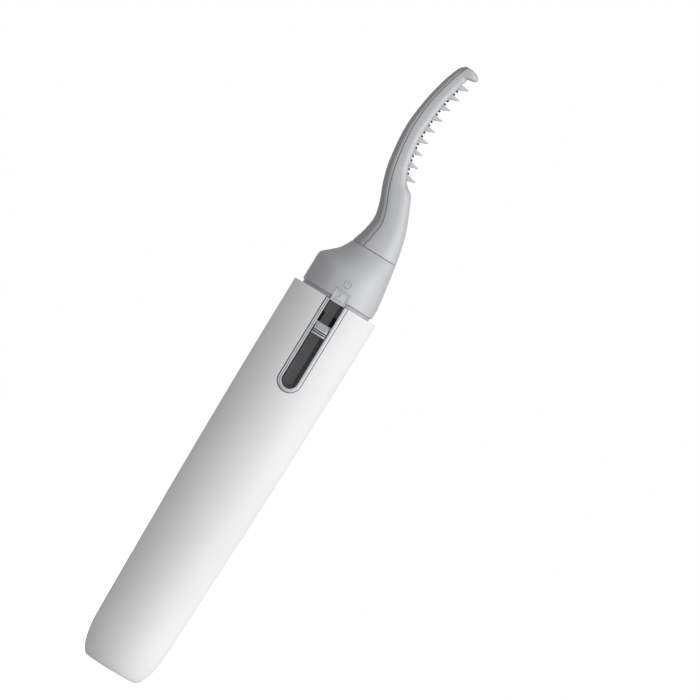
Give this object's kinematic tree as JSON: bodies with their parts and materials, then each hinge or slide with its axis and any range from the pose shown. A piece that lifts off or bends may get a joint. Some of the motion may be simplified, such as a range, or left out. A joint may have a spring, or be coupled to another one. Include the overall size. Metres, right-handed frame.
{
  "type": "heated eyelash curler",
  "caption": "Pen-shaped heated eyelash curler: curved head with comb teeth over a heating coil, silver collar, slide switch in a chrome window, and a pull-off sleeve over the battery.",
  "frame": {"origin": "centre of the sleeve's flat lower end, on the pen's axis", "axes": "+Z along the pen from the flat end to the tip of the head; -Y is the switch side; the comb points towards +X"},
  "size_m": [0.0182, 0.0184, 0.135],
  "materials": {
    "white_sleeve": "satin white moulded plastic",
    "silver_paint": "satin silver paint with fine flake",
    "grey_paint": "satin dark silver paint",
    "white_frame": "matt white moulded plastic",
    "chrome_trim": "bright chrome plate",
    "smoked_gloss": "gloss dark grey",
    "black_plastic": "matt black moulded plastic",
    "board_green": "glass-epoxy board with green solder mask",
    "ferrite_grey": "pressed ferrite",
    "capacitor_tan": "fired ceramic with tinned ends",
    "led_resin": "clear resin over phosphor",
    "frosted_clear": "frosted clear plastic",
    "cell_label": "printed shrink sleeve over a steel can",
    "contact_steel": "nickel-plated spring steel",
    "brass_strip": "rolled brass",
    "heater_ceramic": "dark unglazed ceramic",
    "heating_wire": "oxidised resistance wire",
    "red_insulation": "silicone insulation",
    "black_insulation": "silicone insulation",
    "screw_steel": "zinc-plated steel"
  },
  "bodies": {
    "sleeve": {"battery_cover": "white_sleeve"},
    "core": {"collar": "silver_paint", "chassis": "white_frame", "front_panel": "white_frame", "switch_bezel": "chrome_trim", "switch_track": "smoked_gloss", "slide_switch_body": "contact_steel", "circuit_board": "board_green", "boost_chip": "black_plastic", "power_inductor": "ferrite_grey", "board_capacitors": "capacitor_tan", "indicator_led": "led_resin", "indicator_lens": "frosted_clear", "battery_cell": "cell_label", "negative_spring": "contact_steel", "negative_plate": "contact_steel", "positive_plate": "contact_steel", "return_strip": "brass_strip", "head_housing": "silver_paint", "head_back_cover": "grey_paint", "lash_comb": "frosted_clear", "heater_core": "heater_ceramic", "heater_wire": "heating_wire", "heater_crimps": "brass_strip", "lead_wire_positive": "red_insulation", "lead_wire_negative": "black_insulation", "chassis_screws": "screw_steel", "collar_screw": "screw_steel", "head_screw": "screw_steel"},
    "slider": {"switch_knob": "chrome_trim", "switch_shutter": "smoked_gloss", "switch_carrier": "black_plastic", "slide_switch_lever": "black_plastic"}
  },
  "joints": [
    {"name": "sleeve_pull_off", "type": "slide", "parent": "sleeve", "child": "core", "axis": [0, 0, 1], "range_m": [0, 0.085]},
    {"name": "power_slider", "type": "slide", "parent": "core", "child": "slider", "axis": [0, 0, 1], "range_m": [0, 0.0027]}
  ]
}
